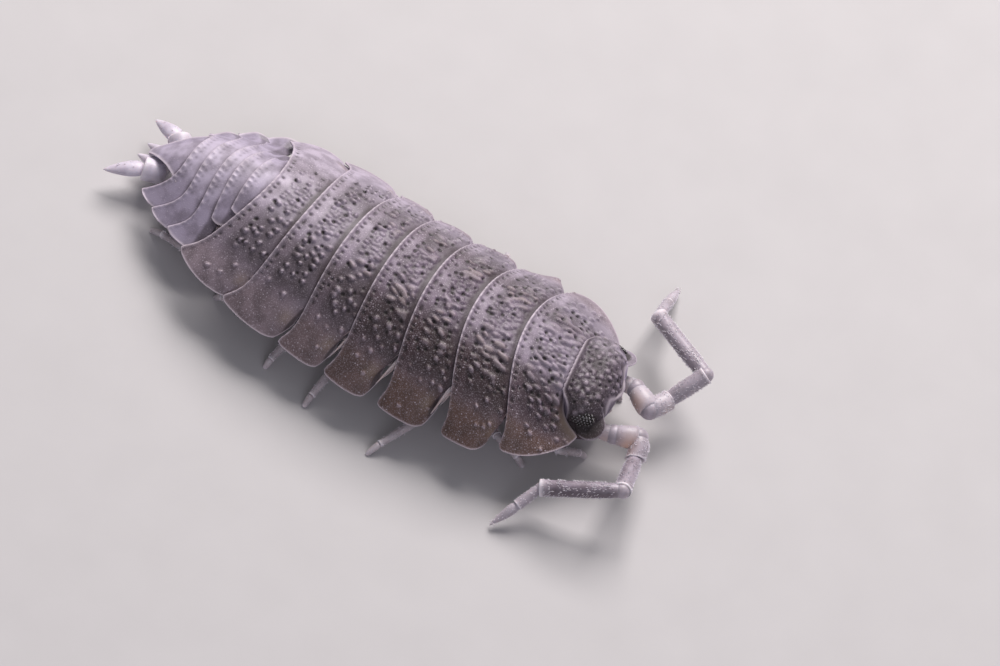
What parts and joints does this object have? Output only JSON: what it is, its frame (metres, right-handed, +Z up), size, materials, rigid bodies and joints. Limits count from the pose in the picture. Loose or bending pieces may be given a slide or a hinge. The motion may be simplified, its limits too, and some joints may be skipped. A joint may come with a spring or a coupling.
{
  "type": "woodlouse",
  "caption": "Life-size still model of a rough woodlouse, walking, with an arched ringed back, bent antennae, short legs and forked tail limbs.",
  "frame": {"origin": "centre of the bounding box in plan, on the floor the feet stand on", "axes": "+Z up, head towards -Y, tail towards +Y, the animal's right side towards -X"},
  "size_m": [0.011, 0.0188, 0.0035],
  "materials": {
    "shell_grey": "satin, rough with small tubercles",
    "pale_limb": "satin",
    "eye_black": "gloss",
    "gill_white": "satin"
  },
  "bodies": {
    "root": {"head": "shell_grey", "mouthparts": "pale_limb", "pereonite_1": "shell_grey", "pereonite_2": "shell_grey", "pereonite_3": "shell_grey", "pereonite_4": "shell_grey", "pereonite_5": "shell_grey", "pereonite_6": "shell_grey", "pereonite_7": "shell_grey", "pleonite_1": "shell_grey", "pleonite_2": "shell_grey", "pleonite_3": "shell_grey", "pleonite_4": "shell_grey", "pleonite_5": "shell_grey", "telson": "shell_grey", "eye_right": "eye_black", "antenna_right_peduncle": "pale_limb", "antenna_right_flagellum": "pale_limb", "leg_right_1": "pale_limb", "leg_right_2": "pale_limb", "leg_right_3": "pale_limb", "leg_right_4": "pale_limb", "leg_right_5": "pale_limb", "leg_right_6": "pale_limb", "leg_right_7": "pale_limb", "pleopod_right_1": "gill_white", "pleopod_right_2": "gill_white", "pleopod_right_3": "gill_white", "pleopod_right_4": "gill_white", "pleopod_right_5": "gill_white", "uropod_right": "pale_limb", "eye_left": "eye_black", "antenna_left_peduncle": "pale_limb", "antenna_left_flagellum": "pale_limb", "leg_left_1": "pale_limb", "leg_left_2": "pale_limb", "leg_left_3": "pale_limb", "leg_left_4": "pale_limb", "leg_left_5": "pale_limb", "leg_left_6": "pale_limb", "leg_left_7": "pale_limb", "pleopod_left_1": "gill_white", "pleopod_left_2": "gill_white", "pleopod_left_3": "gill_white", "pleopod_left_4": "gill_white", "pleopod_left_5": "gill_white", "uropod_left": "pale_limb"}
  },
  "joints": []
}
